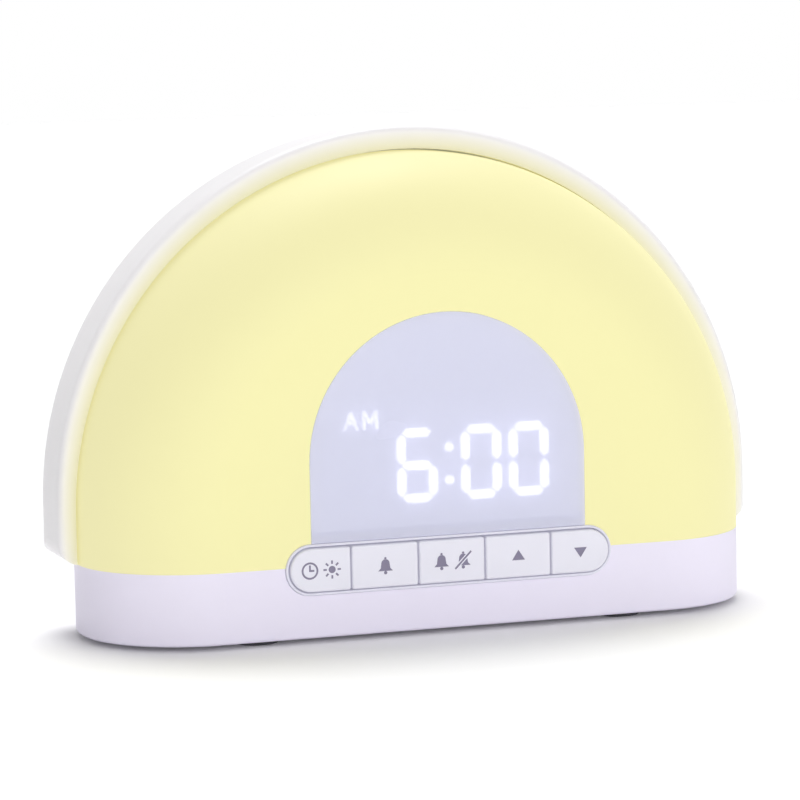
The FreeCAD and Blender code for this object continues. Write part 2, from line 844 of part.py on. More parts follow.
def build_rear_housing():
    body = new_body("rear_housing")
    outer = d.housing_radius
    edge = d.housing_rear_edge
    lip = d.housing_lip_round
    revolve(body, "Revolution", d.housing_centre, dome_plan(outer, back, edge, d.housing_front, True, lip))
    plan = dome_plan(outer, back, edge, d.housing_front, False, lip)
    pad(body, "XY_Plane", d.base_top, d.housing_centre, plan)
    # Hollow behind the lip
    wall = d.housing_wall
    inner = outer - wall
    room = d.dome_back + d.web_gap
    inner_edge = edge - wall
    revolve(body, "Groove", d.housing_centre, dome_plan(inner, housing_inside, inner_edge, room, True))
    sill = d.base_top + wall
    plan = dome_plan(inner, housing_inside, inner_edge, room, False)
    cut(body, "XY_Plane", sill, d.housing_centre, plan)
    # Mouth that the diffuser's skirt goes into
    mouth = d.dome_radius + d.parting_gap
    mouth_front = d.housing_front - BEYOND
    mouth_back = room + BEYOND
    revolve(body, "Groove", d.dome_centre, draw_box(0, mouth, mouth_front, mouth_back))
    cut(body, "XY_Plane", d.base_top, d.dome_centre, draw_box(-mouth, mouth, mouth_front, mouth_back))
    # Open foot over the deck
    open_half = d.base_width / 2 - d.base_wall * 2
    foot = draw_box(-open_half, open_half, mouth_front, housing_inside, inner_edge)
    cut(body, "XY_Plane", d.base_top, sill, foot)
    # Rounded lower corners
    trim_housing_corners(body)
    # Screw tubes, board posts and posts for the dome's screws
    tube = head_clear + d.tube_wall
    tube_back = housing_inside + d.housing_wall / 2
    pad(body, "XZ_Plane", shell_web_front, tube_back, draw_circles(shell_screw_spots, tube))
    cut(body, "XZ_Plane", shell_web_back, back + BEYOND, draw_circles(shell_screw_spots, head_clear))
    cut(body, "XZ_Plane", shell_web_front, shell_web_back, draw_circles(shell_screw_spots, clear_radius))
    pad(body, "XZ_Plane", light_board_back, tube_back, draw_circles(light_post_spots, d.light_post_radius))
    light_hole_back = light_board_back + d.light_post_hole
    cut(body, "XZ_Plane", light_board_back, light_hole_back, draw_circles(light_post_spots, pilot_radius))
    post_top = d.base_top + d.dome_post_height
    pad(body, "XY_Plane", d.base_top, post_top, draw_dome_posts())
    pilot_top = post_top - d.dome_post_cap
    cut(body, "XY_Plane", d.base_top, pilot_top, draw_circles(dome_screw_spots, pilot_radius))
    # Vent slots in the back
    low = d.vent_centre - d.vent_height / 2
    high = d.vent_centre + d.vent_height / 2
    first = -(d.vent_count - 1) * d.vent_pitch / 2
    slot_half = d.vent_width / 2
    opening = draw_box(first - slot_half, first + slot_half, low, high, slot_half * ROUND_SHARE)
    slot = cut(body, "XZ_Plane", housing_inside - BEYOND, back + BEYOND, opening)
    row = body.newObject("PartDesign::LinearPattern", "Vents")
    row.Originals = [slot]
    row.Direction = (slot.Profile[0], ["H_Axis"])
    bind(row, "Length", (d.vent_count - 1) * d.vent_pitch)
    bind(row, "Occurrences", d.vent_count)
    body.Tip = row
    doc.recompute()
    return body


def draw_dome_posts():
    """Posts against the back wall, each a block with its screw in the middle"""

    def draw(sketch):
        far = housing_inside + d.housing_wall / 2
        for x, y in dome_screw_spots:
            box_outline(sketch, x - d.boss_radius, x + d.boss_radius, y - d.boss_radius, far)

    return draw


def trim_housing_corners(body):
    outer = d.housing_radius
    radius = d.housing_foot_round

    def corner(side):
        def draw(sketch):
            edge = as_value(outer)
            bend = as_value(radius)
            low = as_value(d.base_top)
            wall_top = Vector(side * edge, low + bend, 0)
            floor_end = Vector(side * (edge - bend), low, 0)
            far_top = Vector(side * (edge + BEYOND), low + bend, 0)
            far_low = Vector(side * (edge + BEYOND), low - BEYOND, 0)
            near_low = Vector(side * (edge - bend), low - BEYOND, 0)
            centre = Vector(side * (edge - bend), low + bend, 0)
            arc, floor_point, wall_point = add_arc(sketch, centre, floor_end, wall_top)
            points = [wall_top, far_top, far_low, near_low, floor_end]
            lines = [sketch.addGeometry(Part.LineSegment(*pair)) for pair in zip(points, points[1:])]
            for before, after in zip(lines, lines[1:]):
                sketch.addConstraint(Sketcher.Constraint("Coincident", before, 2, after, 1))
            for index, line in enumerate(lines):
                sketch.addConstraint(Sketcher.Constraint("Vertical" if index % 2 else "Horizontal", line))
            sketch.addConstraint(Sketcher.Constraint("Coincident", arc, wall_point, lines[0], 1))
            sketch.addConstraint(Sketcher.Constraint("Coincident", arc, floor_point, lines[3], 2))
            hold(sketch, "DistanceX", arc, 3, (outer - radius) * side)
            hold(sketch, "DistanceY", arc, 3, d.base_top + radius)
            hold(sketch, "DistanceX", lines[0], 1, outer * side)
            hold(sketch, "DistanceY", lines[0], 1, d.base_top + radius)
            hold(sketch, "DistanceX", lines[1], 1, (outer + BEYOND) * side)
            hold(sketch, "DistanceY", lines[2], 1, d.base_top - BEYOND)
            hold(sketch, "DistanceX", lines[3], 1, (outer - radius) * side)

        return draw

    for side in (-1, 1):
        cut(body, "XZ_Plane", d.housing_front - BEYOND, back + BEYOND, corner(side))


def build_diffuser():
    body = new_body("diffuser")
    outer = d.dome_radius
    edge = d.dome_edge
    revolve(body, "Revolution", d.dome_centre, dome_plan(outer, front, edge, d.dome_back, True))
    pad(body, "XY_Plane", d.base_top, d.dome_centre, dome_plan(outer, front, edge, d.dome_back, False))
    inner = outer - d.dome_wall
    inner_edge = edge - d.dome_wall
    open_end = d.dome_back + BEYOND
    revolve(body, "Groove", d.dome_centre, dome_plan(inner, dome_inside, inner_edge, open_end, True))
    plan = dome_plan(inner, dome_inside, inner_edge, open_end, False)
    cut(body, "XY_Plane", d.base_top, d.dome_centre, plan)
    # Bosses for the screws from the back
    boss_front = front + d.dome_boss_start
    pad(body, "XZ_Plane", boss_front, d.dome_back, draw_circles(shell_screw_spots, d.boss_radius))
    pilot_front = d.dome_back - d.screw_bite - d.pilot_spare
    cut(body, "XZ_Plane", pilot_front, d.dome_back, draw_circles(shell_screw_spots, pilot_radius))
    # Window and the upper half of the key opening
    window = draw_arch(d.window_half_width, d.window_centre, d.key_centre)
    cut(body, "XZ_Plane", front - BEYOND, dome_inside, window)
    outer_keys = draw_keys_window(bezel_outer_half + d.bezel_slack, bezel_outer_height + d.bezel_slack * 2)
    cut(body, "XZ_Plane", front - BEYOND, dome_inside, outer_keys)
    return body


def build_display_lens():
    body = new_body("display_lens")
    half = d.window_half_width - d.lens_gap
    pad(body, "XZ_Plane", front, dome_inside, draw_arch(half, d.window_centre, lens_low))
    flange = draw_arch(d.window_half_width + d.lens_flange, d.window_centre, lens_flange_low)
    pad(body, "XZ_Plane", dome_inside, lens_flange_back, flange)
    land = d.lens_flange_land
    opening = draw_arch(half - land, d.window_centre, lens_flange_low + land)
    cut(body, "XZ_Plane", dome_inside, lens_flange_back, opening)
    return body


def build_display_shroud():
    body = new_body("display_shroud")
    outer = d.window_half_width + d.lens_flange
    low = lens_flange_low
    pad(body, "XZ_Plane", lens_flange_back, shroud_back, draw_arch(outer, d.window_centre, low))
    inner = draw_arch(outer - d.shroud_wall, d.window_centre, low + d.shroud_wall)
    cut(body, "XZ_Plane", lens_flange_back, shroud_back - d.shroud_wall, inner)
    gap = d.display_block_gap
    hole_half = d.display_block_width / 2 + gap
    hole = draw_box(-hole_half, hole_half, d.display_block_low - gap, d.display_block_high + gap)
    cut(body, "XZ_Plane", shroud_back - d.shroud_wall, shroud_back, hole)
    bosses = draw_circles(display_spots, d.display_boss_radius)
    pad(body, "XZ_Plane", shroud_back, display_board_front, bosses)
    pilot_front = shroud_back - d.shroud_wall + d.running_gap
    cut(body, "XZ_Plane", pilot_front, display_board_front, draw_circles(display_spots, pilot_radius))
    return body


def build_display_board():
    body = new_body("display_board")
    half = d.display_board_half
    sheet = draw_box(-half, half, d.display_board_low, d.display_board_high)
    pad(body, "XZ_Plane", display_board_front, display_rear, sheet)
    cut(body, "XZ_Plane", display_board_front, display_rear, draw_circles(display_spots, clear_radius))
    return body


def tile(points, face):
    """A flat tile in front of a face, from its outline in X and Z"""
    near = face - as_value(d.segment_thickness)
    ring = [Vector(x, near, z) for x, z in points]
    return Part.Face(Part.makePolygon(ring + ring[:1])).extrude(Vector(0, as_value(d.segment_thickness), 0))


def bar(x, z, length, upright):
    """A seven-segment bar with pointed ends"""
    reach = length / 2 - as_value(d.segment_gap)
    half = as_value(d.segment_width) / 2
    lower = [(-reach, 0), (half - reach, -half), (reach - half, -half)]
    shape = lower + [(-across, -run) for across, run in lower]
    if upright:
        shape = [(across, run) for run, across in shape]
    return [(x + dx, z + dz) for dx, dz in shape]


SEGMENTS = {"a": (0, 2, False), "b": (1, 1, True), "c": (1, -1, True), "d": (0, -2, False)}
SEGMENTS.update({"e": (-1, -1, True), "f": (-1, 1, True), "g": (0, 0, False)})
SHOWN = ["", "acdefg", "abcdef", "abcdef"]


def digit_bars(place_index, letters):
    """The bars of one digit of the display, counted from the left"""
    offset = place_index - 1.5
    spread = d.digit_shift + d.digit_pitch * offset + d.colon_gap * (0.5 if offset > 0 else -0.5)
    wide = as_value(d.digit_width)
    tall = as_value(d.digit_height)
    bars = []
    for letter in letters:
        column, row, upright = SEGMENTS[letter]
        x = spread.value + column * wide / 2
        z = as_value(d.digit_centre) + row * tall / 4
        bars.append(bar(x, z, tall / 2 if upright else wide, upright))
    return bars


def set_shape(label, solids):
    piece = doc.addObject("Part::Feature", label)
    piece.Label = label
    piece.Shape = Part.makeCompound(solids)
    return piece


def build_display_face():
    """The block of the display with its lit and unlit bars, the colon and the small marker"""
    half = d.display_block_width / 2
    low = d.display_block_low
    block("display_block", -half, half, display_block_front, display_board_front, low, d.display_block_high)
    face = display_block_front.value
    lit = []
    unlit = []
    for index, shown in enumerate(SHOWN):
        hidden = "".join(letter for letter in "abcdefg" if letter not in shown)
        lit += digit_bars(index, shown)
        unlit += digit_bars(index, hidden)
    set_shape("lit_segments", [tile(points, face) for points in lit])
    set_shape("unlit_segments", [tile(points, face) for points in unlit])
    dot = d.segment_width / 2
    quarter = d.digit_height / 4
    dots = []
    for row, name in ((-1, "colon_low"), (1, "colon_high")):
        level = d.digit_centre + quarter * row
        dots.append(rod(name, dot, d.segment_thickness, d.digit_shift, display_block_front, level, FORWARD))
    group("colon_dots", dots)
    set_shape("time_marker", marker_letters(face))


def marker_letters(face):
    """The two letters of the morning marker, A and M, drawn as strokes"""
    tall = as_value(d.marker_height)
    wide = tall * LETTER_WIDTH
    thick = tall * LETTER_STROKE
    middle = as_value(d.digit_shift + d.marker_inset - d.display_block_width / 2)
    low = as_value(d.marker_z) - tall / 2
    left = middle - wide - tall * LETTER_GAP
    right = middle + tall * LETTER_GAP

    def stroke(x0, z0, x1, z1):
        return tile([(x0, z0), (x0 + thick, z0), (x1 + thick, z1), (x1, z1)], face)

    apex = left + (wide - thick) / 2
    letter_a = stroke(left, low, apex, low + tall)
    letter_a = letter_a.fuse(stroke(left + wide - thick, low, apex, low + tall))
    rung = low + tall * LETTER_RUNG
    rung_ends = (left + thick, left + wide - thick)
    corners = [(x, rung) for x in rung_ends] + [(x, rung + thick) for x in reversed(rung_ends)]
    letter_a = letter_a.fuse(tile(corners, face))
    valley = right + (wide - thick) / 2
    letter_m = stroke(right, low, right, low + tall)
    letter_m = letter_m.fuse(stroke(right + wide - thick, low, right + wide - thick, low + tall))
    letter_m = letter_m.fuse(stroke(valley, rung, right, low + tall))
    letter_m = letter_m.fuse(stroke(valley, rung, right + wide - thick, low + tall))
    return [letter_a.removeSplitter(), letter_m.removeSplitter()]


def build_light_board():
    body = new_body("light_board", y=d.light_board_front, z=d.dome_centre)
    low = d.light_board_low - d.dome_centre
    pad(body, "XZ_Plane", 0, d.board_thickness, draw_arch(d.light_board_outer, 0, low))
    cut(body, "XZ_Plane", 0, d.board_thickness, draw_arch(d.light_board_inner, 0, low - BEYOND))
    spots = [(x, z - d.dome_centre) for x, z in light_post_spots]
    cut(body, "XZ_Plane", 0, d.board_thickness, draw_circles(spots, clear_radius))
    return body


def build_light_leds():
    body = new_body("light_leds", y=d.light_board_front, z=d.dome_centre)
    half = d.led_size / 2
    ring = d.led_ring
    first = pad(body, "XZ_Plane", -d.led_height, 0, draw_box(ring - half, ring + half, -half, half))
    fan = body.newObject("PartDesign::PolarPattern", "Fan")
    fan.Originals = [first]
    fan.Axis = ([item for item in body.Origin.OriginFeatures if item.Role == "Y_Axis"][0], [""])
    fan.Angle = 180
    fan.Reversed = True
    bind(fan, "Occurrences", d.led_count)
    body.Tip = fan
    doc.recompute()
    return body


def build_key_bezel():
    body = new_body("key_bezel")
    outer = draw_keys_window(bezel_outer_half, bezel_outer_height)
    pad(body, "XZ_Plane", front - d.bezel_proud, flange_front, outer)
    half = d.bezel_flange_half
    flange = draw_box(-half, half, key_board_low, flange_top, d.bezel_flange_round)
    pad(body, "XZ_Plane", flange_front, flange_back, flange)
    posts = draw_circles(key_post_spots, d.bezel_post_radius)
    pad(body, "XZ_Plane", flange_back, key_board_front, posts)
    inner = draw_keys_window(bezel_inner_half, bezel_inner_height)
    cut(body, "XZ_Plane", front - d.bezel_proud, flange_back, inner)
    cut(body, "XZ_Plane", flange_back, key_board_front, draw_circles(key_post_spots, pilot_radius))
    dress(body, "Fillet", d.bezel_softness, flat_at("y", front - d.bezel_proud))
    return body


def key_middle(index):
    return d.key_pitch * (index - (len(KEY_NAMES) - 1) / 2)


def build_key(index, name):
    """One key cap with its lip and stem; the outer corners of the end keys are round"""
    body = new_body(f"key_{name}", x=key_middle(index), z=d.key_centre)
    half = (d.key_pitch - d.key_gap) / 2
    tall = d.key_height / 2
    bend = tall - SLIVER
    first = index == 0
    last = index == len(KEY_NAMES) - 1
    left = d.key_end_trim - half if first else -half
    right = half - d.key_end_trim if last else half
    left_bend = bend if first else d.key_edge
    right_bend = bend if last else d.key_edge
    left_corners = [(left, tall, left_bend), (left, -tall, left_bend)]
    right_corners = [(right, -tall, right_bend), (right, tall, right_bend)]
    corners = left_corners + right_corners
    face = front - d.key_proud
    lip_front = flange_back + d.running_gap
    lip_back = lip_front + d.key_lip_thickness
    pad(body, "XZ_Plane", face, lip_back, lambda sketch: outline(sketch, corners))
    dress(body, "Fillet", d.key_edge, flat_at("y", face))
    lip = tall + d.key_lip
    lip_half = half - bend / 2
    pad(body, "XZ_Plane", lip_front, lip_back, draw_box(-lip_half, lip_half, -lip, lip))
    stem_end = key_board_front - d.switch_height - d.plunger_root
    pad(body, "XZ_Plane", lip_back, stem_end, draw_circles([(0, 0)], d.stem_radius))
    doc.recompute()
    middle = key_middle(index)
    length = d.plunger_hidden + d.plunger_root
    rod(f"plunger_{name}", d.stem_radius, length, middle, stem_end, d.key_centre, BACKWARD)
    return body


def build_key_switches():
    half = d.switch_size / 2
    bodies = []
    for index, name in enumerate(KEY_NAMES):
        middle = key_middle(index)
        near = key_board_front - d.switch_height
        low = d.key_centre - half
        high = d.key_centre + half
        case = block(f"case_{name}", middle - half, middle + half, near, key_board_front, low, high)
        wide = d.stem_radius + d.running_gap
        bore = rod(f"bore_{name}", wide, switch_bore, middle, near, d.key_centre, BACKWARD)
        bodies.append(less(f"switch_{name}", case, bore))
    return group("key_switches", bodies)


def build_key_board():
    body = new_body("key_board")
    half = d.bezel_flange_half
    pad(body, "XZ_Plane", key_board_front, key_board_back, draw_box(-half, half, key_board_low, flange_top))
    cut(body, "XZ_Plane", key_board_front, key_board_back, draw_circles(key_post_spots, clear_radius))
    return body


def build_main_board():
    body = new_body("main_board")
    plan = draw_box(d.main_board_left, d.main_board_right, d.main_board_front, d.main_board_rear)
    pad(body, "XY_Plane", d.main_board_low, main_board_high, plan)
    cut(body, "XY_Plane", d.main_board_low, main_board_high, draw_circles(main_board_spots, clear_radius))
    return body


def build_chips(top, middle):
    chips = []
    for name, (left, near, width, depth, height) in CHIPS.items():
        side = middle + left
        chips.append(block(name, side, side + width, near, near + depth, top, top + height))
    return group("chips", chips)


def build_cable_sockets(top):
    near = d.ribbon_drop - d.socket_wall
    far = d.ribbon_drop + d.ribbon_thickness + d.socket_wall
    high = top + d.socket_height
    sockets = []
    for name, left in (("display_socket", d.display_ribbon_x), ("key_socket", d.key_ribbon_x)):
        right = left + d.ribbon_width
        sockets.append(block(name, left - d.opening_room, right + d.opening_room, near, far, top, high))
    wide = d.light_socket_half
    deep = d.light_socket_half - d.running_gap
    left = wire_gate_x - wide
    sockets.append(block("light_socket", left, left + wide * 2, wire_y - deep, wire_y + deep, top, high))
    return group("cable_sockets", sockets)


def build_board_parts():
    """What stands on the main board: chips, crystal, capacitors, buzzer and cable sockets"""
    top = main_board_high
    middle = (d.main_board_left + d.main_board_right) / 2
    build_chips(top, middle)
    build_cable_sockets(top)
    rod("buzzer", d.buzzer_radius, d.buzzer_height, d.buzzer_x, d.buzzer_y, top)
    crystal_left = middle + d.crystal_left
    axis = top + d.crystal_radius
    rod("crystal_can", d.crystal_radius, d.crystal_length, crystal_left, d.crystal_y, axis, SIDEWAYS)
    can = d.capacitor_radius
    capacitors = []
    for index, name in enumerate(("capacitor_near", "capacitor_far")):
        y = d.buzzer_y + d.capacitor_y + d.capacitor_pitch * index
        capacitors.append(rod(name, can, d.capacitor_height, d.buzzer_x - can * 2, y, top))
    group("capacitors", capacitors)


def build_inlet():
    """The adaptor socket behind the rear wall, with its centre pin"""
    half = d.inlet_width / 2
    rear = back_inside - d.fit_gap
    near = rear - d.inlet_length
    top = main_board_high + d.inlet_height
    case = block("inlet_case", d.inlet_x - half, d.inlet_x + half, near, rear, main_board_high, top)
    reach = d.base_wall - d.inlet_nose_setback
    nose_radius = d.inlet_height / 2 - d.fit_gap
    nose = rod("inlet_nose", nose_radius, reach, d.inlet_x, rear, inlet_axis, BACKWARD)
    whole = doc.addObject("Part::MultiFuse", "inlet_whole")
    whole.Shapes = [case, nose]
    mouth = rear + reach
    bore = rod("inlet_bore", d.inlet_radius, d.inlet_depth, d.inlet_x, mouth, inlet_axis, FORWARD)
    less("dc_inlet", whole, bore)
    pin_base = mouth - d.inlet_depth
    pin_length = d.inlet_depth - d.inlet_pin_setback
    rod("dc_inlet_pin", d.inlet_pin_radius, pin_length, d.inlet_x, pin_base, inlet_axis, BACKWARD)
    doc.recompute()


def strip(label, left, profile):
    """A flat cable with level and upright runs, drawn in Y and Z and as wide as the ribbon"""
    body = new_body(label)
    pad(body, "YZ_Plane", left, left + d.ribbon_width, lambda sketch: outline(sketch, profile))
    return body


def build_cables():
    thick = d.ribbon_thickness
    bend = thick * 3 / 2
    drop = d.ribbon_drop
    socket_top = main_board_high + d.socket_height
    display_level = d.display_board_low + d.opening_room
    key_level = socket_top + bend + d.web_gap
    runs = [
        ("display_ribbon", d.display_ribbon_x, display_rear, display_level),
        ("key_ribbon", d.key_ribbon_x, key_board_back, key_level),
    ]
    for label, left, start, level in runs:
        profile = [
            (start, level),
            (drop, level, bend),
            (drop, socket_top),
            (drop + thick, socket_top),
            (drop + thick, level + thick, bend + thick),
            (start, level + thick),
        ]
        strip(label, left, profile)


def build_light_wires():
    """Two insulated wires from the light board's left leg down to their socket on the main board"""
    start = main_board_high + d.socket_height
    length = d.light_board_low - start
    radius = d.light_wire_radius
    wires = []
    for index, name in enumerate(("light_wire_left", "light_wire_right")):
        wires.append(rod(name, radius, length, d.light_wire_x + radius * WIRE_PITCH * index, wire_y, start))
    return group("light_wires", wires)


build_base_shell()
build_bottom_plate()
build_feet()
build_battery_door()
build_coin_cell()
build_rear_housing()
build_diffuser()
build_display_lens()
build_display_shroud()
build_display_board()
build_display_face()
build_light_board()
build_light_leds()
build_key_bezel()
for key_index, key_name in enumerate(KEY_NAMES):
    build_key(key_index, key_name)
build_key_switches()
build_key_board()
build_main_board()
build_board_parts()
build_inlet()
build_cables()
build_light_wires()

# Screws: each row has the places of the heads, the way they point and how far they reach
seat_high = floor_low + d.floor_thickness / 2
SCREW_SETS = {
    "base_screws": ([(x, y, seat_high) for x, y in base_screw_spots], UPRIGHT, d.screw_bite),
    "dome_screws": (
        [(x, y, deck_low) for x, y in dome_screw_spots],
        UPRIGHT,
        d.deck_thickness + d.screw_bite,
    ),
    "main_board_screws": (
        [(x, y, d.main_board_low) for x, y in main_board_spots],
        UPRIGHT,
        d.board_thickness + d.board_screw_bite,
    ),
    "shell_screws": (
        [(x, shell_web_back, z) for x, z in shell_screw_spots],
        FORWARD,
        d.shell_web + d.screw_bite,
    ),
    "light_board_screws": (
        [(x, d.light_board_front, z) for x, z in light_post_spots],
        BACKWARD,
        d.board_thickness + d.screw_bite,
    ),
    "display_screws": (
        [(x, display_rear, z) for x, z in display_spots],
        FORWARD,
        d.board_thickness + d.display_screw_bite,
    ),
    "key_board_screws": (
        [(x, key_board_back, z) for x, z in key_post_spots],
        FORWARD,
        d.board_thickness + d.key_screw_bite,
    ),
}
for screw_label, (screw_places, screw_turn, screw_reach) in SCREW_SETS.items():
    screws(screw_label, screw_places, screw_turn, screw_reach)

NODES = """base_shell bottom_plate rubber_feet battery_door coin_cell cell_leaf cell_clip rear_housing
diffuser display_lens display_shroud display_block lit_segments unlit_segments colon_dots time_marker
display_board light_board light_leds light_wires key_bezel key_board key_switches main_board chips
crystal_can capacitors buzzer cable_sockets dc_inlet dc_inlet_pin display_ribbon key_ribbon""".split()
NODES += SCREW_SETS
NODES += [f"key_{name}" for name in KEY_NAMES]
NODES += [f"plunger_{name}" for name in KEY_NAMES]

doc.recompute()
for item in doc.Objects:
    if "Invalid" in item.State or "Error" in item.State:
        raise RuntimeError(f"{item.Label} did not build: {item.State}")

os.makedirs("parts", exist_ok=True)
for node in NODES:
    piece = doc.getObjectsByLabel(node)[0]
    shape = piece.Shape
    if shape.isNull() or not shape.isValid() or not shape.Solids:
        raise RuntimeError(f"{node} has no valid solid")
    shape.exportStep(f"parts/{node}.step")
    print(f"{node}: {len(shape.Solids)} solids, {shape.Volume:.1f} cubic mm")
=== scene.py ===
import math

import bpy
from mathutils import Matrix, Vector


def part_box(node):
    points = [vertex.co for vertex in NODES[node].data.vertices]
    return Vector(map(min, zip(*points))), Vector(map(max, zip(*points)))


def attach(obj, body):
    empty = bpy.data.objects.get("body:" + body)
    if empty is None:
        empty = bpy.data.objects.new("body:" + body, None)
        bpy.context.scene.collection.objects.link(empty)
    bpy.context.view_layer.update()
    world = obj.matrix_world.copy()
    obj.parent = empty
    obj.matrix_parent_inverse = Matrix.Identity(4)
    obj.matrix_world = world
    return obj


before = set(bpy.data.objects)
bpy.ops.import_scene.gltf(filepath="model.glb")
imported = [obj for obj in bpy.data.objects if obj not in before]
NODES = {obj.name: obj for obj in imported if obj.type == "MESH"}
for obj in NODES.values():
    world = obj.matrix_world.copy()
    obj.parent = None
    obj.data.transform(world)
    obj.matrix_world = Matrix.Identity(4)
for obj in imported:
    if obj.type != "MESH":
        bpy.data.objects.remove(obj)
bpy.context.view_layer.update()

# Sunrise alarm clock. Lengths are in metres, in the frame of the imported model.

MM = 0.001
KEY_NODES = ["key_time", "key_alarm", "key_alarm_switch", "key_up", "key_down"]


# The curve between screen colours and light: straight below the knee, a power above it
KNEE = 0.04045
SLOPE = 12.92
OFFSET = 0.055
POWER = 2.4


def tone(red, green, blue):
    """A screen colour, 0 to 255, as the linear colour that the shaders use"""
    shares = [channel / 255 for channel in (red, green, blue)]
    return [s / SLOPE if s <= KNEE else ((s + OFFSET) / (1 + OFFSET)) ** POWER for s in shares]


# Camera, at the photograph's viewing angle
AZIMUTH = math.radians(-18.86)
ELEVATION = math.radians(5.98)
ROLL = math.radians(-1.129)
DISTANCE = 0.8153
AIM = Vector((0, 0, 0.055))
SENSOR_WIDTH = 36
IMAGE_SIDE = 800
FOCAL_PIXELS = 3500
CENTRE_SHIFT = (8.63, -18.49)


def make_camera():
    data = bpy.data.cameras.new("photo_camera")
    camera = bpy.data.objects.new("photo_camera", data)
    bpy.context.scene.collection.objects.link(camera)
    bpy.context.scene.camera = camera
    data.sensor_width = SENSOR_WIDTH
    data.lens = FOCAL_PIXELS / IMAGE_SIDE * SENSOR_WIDTH
    data.shift_x = -CENTRE_SHIFT[0] / IMAGE_SIDE
    data.shift_y = CENTRE_SHIFT[1] / IMAGE_SIDE
    flat = math.cos(ELEVATION)
    back = Vector((math.sin(AZIMUTH) * flat, -math.cos(AZIMUTH) * flat, math.sin(ELEVATION)))
    camera.location = AIM + back * DISTANCE
    turn = (-back).to_track_quat("-Z", "Y").to_matrix() @ Matrix.Rotation(ROLL, 3, "Z")
    camera.rotation_euler = turn.to_euler()


# Materials. Texture scales are in waves per metre, gloss is the lowest and highest roughness.

TINT_RAMP = (0.3, 0.7)
TINT_SCALE = 45
GLOSS_SCALE = 90
BUMP_STRENGTH = 0.25


def new_material(name):
    material = bpy.data.materials.new(name)
    material.use_nodes = True
    nodes = material.node_tree.nodes
    links = material.node_tree.links
    return material, nodes, links, nodes["Principled BSDF"]


def set_inputs(node, **inputs):
    """Set a node's inputs by name; an underscore stands for a space"""
    for name, value in inputs.items():
        node.inputs[name.replace("_", " ")].default_value = value


def add_node(nodes, kind, **inputs):
    node = nodes.new(kind)
    set_inputs(node, **inputs)
    return node


def opaque(colour, shares=(1, 1, 1)):
    """A colour, with each channel scaled by its share, as the shaders take it"""
    return [channel * share for channel, share in zip(colour, shares)] + [1]


def position(nodes):
    """The point's place on the object, in metres"""
    return nodes.new("ShaderNodeTexCoord").outputs["Object"]


def distance_from(nodes, links, where, centre):
    away = nodes.new("ShaderNodeVectorMath")
    away.operation = "DISTANCE"
    away.inputs[1].default_value = centre
    links.new(where, away.inputs[0])
    return away.outputs["Value"]


def combined(nodes, links, operation, first, second):
    """Two values joined by an operation"""
    node = nodes.new("ShaderNodeMath")
    node.operation = operation
    links.new(first, node.inputs[0])
    links.new(second, node.inputs[1])
    return node.outputs[0]


def tint(nodes, links, where, colour, spread, scale):
    """The colour with slow, faint variation across the surface"""
    noise = add_node(nodes, "ShaderNodeTexNoise", Scale=scale, Detail=3.0, Roughness=0.5)
    links.new(where, noise.inputs["Vector"])
    ramp = nodes.new("ShaderNodeValToRGB")
    darker, lighter = ramp.color_ramp.elements
    darker.position, lighter.position = TINT_RAMP
    darker.color = opaque([channel * (1 - spread) for channel in colour])
    lighter.color = opaque([min(channel * (1 + spread), 1) for channel in colour])
    links.new(noise.outputs["Fac"], ramp.inputs["Fac"])
    return ramp.outputs["Color"]


def grain(nodes, links, where, shader, scale, height):
    """Fine moulded grain as bump"""
    noise = add_node(nodes, "ShaderNodeTexNoise", Scale=scale, Detail=4.0, Roughness=0.6)
    links.new(where, noise.inputs["Vector"])
    bump = add_node(nodes, "ShaderNodeBump", Strength=BUMP_STRENGTH, Distance=height)
    links.new(noise.outputs["Fac"], bump.inputs["Height"])
    links.new(bump.outputs["Normal"], shader.inputs["Normal"])


def uneven_gloss(nodes, links, where, shader, gloss, scale):
    """Roughness that wanders between two levels"""
    noise = add_node(nodes, "ShaderNodeTexNoise", Scale=scale, Detail=2.0)
    links.new(where, noise.inputs["Vector"])
    spread = add_node(nodes, "ShaderNodeMapRange", To_Min=gloss[0], To_Max=gloss[1])
    links.new(noise.outputs["Fac"], spread.inputs["Value"])
    links.new(spread.outputs["Result"], shader.inputs["Roughness"])


def falling(nodes, links, value, start, end):
    """1 below the start, 0 beyond the end and a ramp between them"""
    ramp = add_node(nodes, "ShaderNodeMapRange", From_Min=start, From_Max=end, To_Min=1.0, To_Max=0.0)
    links.new(value, ramp.inputs["Value"])
    return ramp.outputs["Result"]


def moulded(
    name,
    colour,
    gloss=(0.42, 0.52),
    spread=0.012,
    grain_scale=2600,
    grain_height=0.03 * MM,
    glow=0.0,
):
    """Moulded plastic with a fine spark-eroded grain; a little glow is painted light that lifts the shade in
    gaps and recesses, in place of light that seeps through the plastic
    """
    material, nodes, links, shader = new_material(name)
    where = position(nodes)
    shade = tint(nodes, links, where, [channel * (1 - glow) for channel in colour], spread, TINT_SCALE)
    links.new(shade, shader.inputs["Base Color"])
    # Painted light: the glow lightens the part evenly, so its gaps and shaded sides come out less dark
    if glow:
        links.new(shade, shader.inputs["Emission Color"])
        set_inputs(shader, Emission_Strength=glow)
    uneven_gloss(nodes, links, where, shader, gloss, GLOSS_SCALE)
    grain(nodes, links, where, shader, grain_scale, grain_height)
    return material


def metal(name, colour):
    material = moulded(name, colour, gloss=(0.25, 0.4), spread=0.03, grain_scale=1800, grain_height=0.01 * MM)
    set_inputs(material.node_tree.nodes["Principled BSDF"], Metallic=1)
    return material


def glowing(name, colour, strength):
    """A lit, milky piece of the display"""
    material, nodes, links, shader = new_material(name)
    shade = tint(nodes, links, position(nodes), colour, spread=0.02, scale=400)
    links.new(shade, shader.inputs["Base Color"])
    links.new(shade, shader.inputs["Emission Color"])
    set_inputs(shader, Emission_Strength=strength, Roughness=0.4)
    return material


